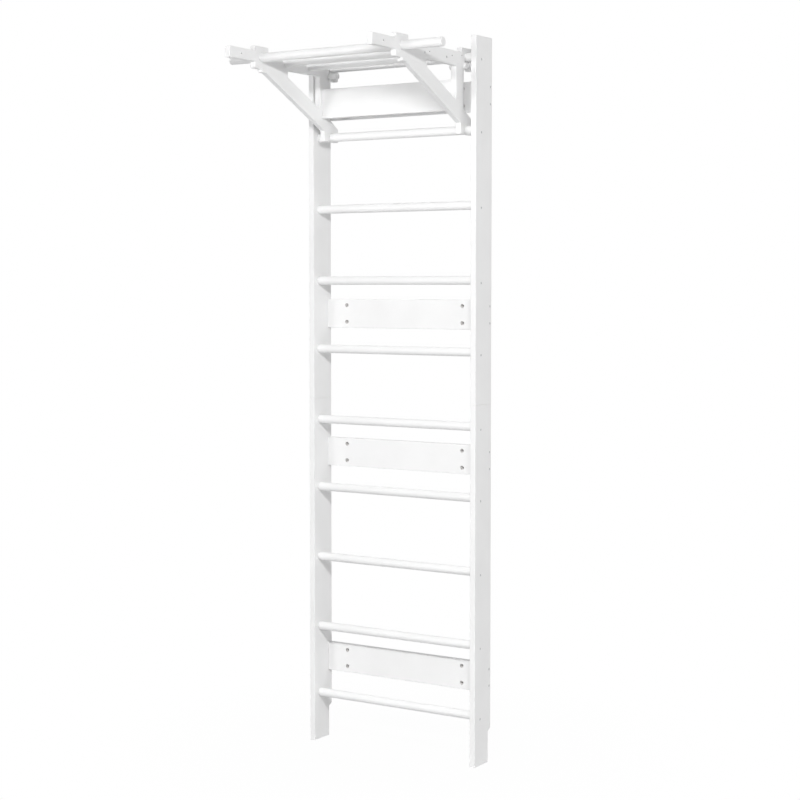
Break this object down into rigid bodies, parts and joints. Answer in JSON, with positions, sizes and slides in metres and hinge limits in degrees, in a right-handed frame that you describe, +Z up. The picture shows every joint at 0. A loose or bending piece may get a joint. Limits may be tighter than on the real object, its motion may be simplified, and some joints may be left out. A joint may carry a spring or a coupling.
{
  "type": "wall bars with hook-on pull-up frame",
  "caption": "Tall white wooden gymnastics ladder for a wall, with round rungs, boards behind them and a braced pull-up frame that hooks over the two top rungs.",
  "frame": {"origin": "on the floor, in the wall plane, midway between the two uprights", "axes": "+X along the rungs to the right as seen from the room, +Y into the wall, +Z up"},
  "size_m": [0.778, 0.605, 2.3],
  "materials": {
    "upright_paint": "white satin paint",
    "rung_paint": "white satin paint",
    "board_paint": "white matt paint",
    "pullup_frame_paint": "white satin paint",
    "screw_steel": "zinc-plated"
  },
  "bodies": {
    "ladder": {"upright_left_lower": "upright_paint", "upright_left_upper": "upright_paint", "upright_right_lower": "upright_paint", "upright_right_upper": "upright_paint", "rung_01": "rung_paint", "rung_02": "rung_paint", "rung_03": "rung_paint", "rung_04": "rung_paint", "rung_05": "rung_paint", "rung_06": "rung_paint", "rung_07": "rung_paint", "rung_08": "rung_paint", "rung_09": "rung_paint", "rung_10": "rung_paint", "wall_board_1": "board_paint", "wall_board_2": "board_paint", "wall_board_3": "board_paint", "wall_board_4": "board_paint", "rung_screw_left_01": "screw_steel", "rung_screw_left_02": "screw_steel", "rung_screw_left_03": "screw_steel", "rung_screw_left_04": "screw_steel", "rung_screw_left_05": "screw_steel", "rung_screw_left_06": "screw_steel", "rung_screw_left_07": "screw_steel", "rung_screw_left_08": "screw_steel", "rung_screw_left_09": "screw_steel", "rung_screw_left_10": "screw_steel", "rung_screw_right_01": "screw_steel", "rung_screw_right_02": "screw_steel", "rung_screw_right_03": "screw_steel", "rung_screw_right_04": "screw_steel", "rung_screw_right_05": "screw_steel", "rung_screw_right_06": "screw_steel", "rung_screw_right_07": "screw_steel", "rung_screw_right_08": "screw_steel", "rung_screw_right_09": "screw_steel", "rung_screw_right_10": "screw_steel"},
    "pullup_frame": {"pullup_side_left": "pullup_frame_paint", "pullup_side_right": "pullup_frame_paint", "pullup_bar_front": "pullup_frame_paint", "pullup_bar_middle": "pullup_frame_paint", "pullup_bar_rear": "pullup_frame_paint", "pullup_cross_board": "pullup_frame_paint", "bar_screw_middle_left": "screw_steel", "bar_screw_middle_right": "screw_steel", "bar_screw_rear_left": "screw_steel", "bar_screw_rear_right": "screw_steel"},
    "lock_peg_left": {"lock_peg_left": "pullup_frame_paint"},
    "lock_peg_right": {"lock_peg_right": "pullup_frame_paint"}
  },
  "joints": [
    {"name": "pullup_frame_lift", "type": "slide", "parent": "ladder", "child": "pullup_frame", "axis": [0, 0, 1], "range_m": [0, 0.008]},
    {"name": "lock_peg_left_slide", "type": "slide", "parent": "pullup_frame", "child": "lock_peg_left", "axis": [1, 0, 0], "range_m": [0, 0.03]},
    {"name": "lock_peg_right_slide", "type": "slide", "parent": "pullup_frame", "child": "lock_peg_right", "axis": [-1, 0, 0], "range_m": [0, 0.03]}
  ]
}
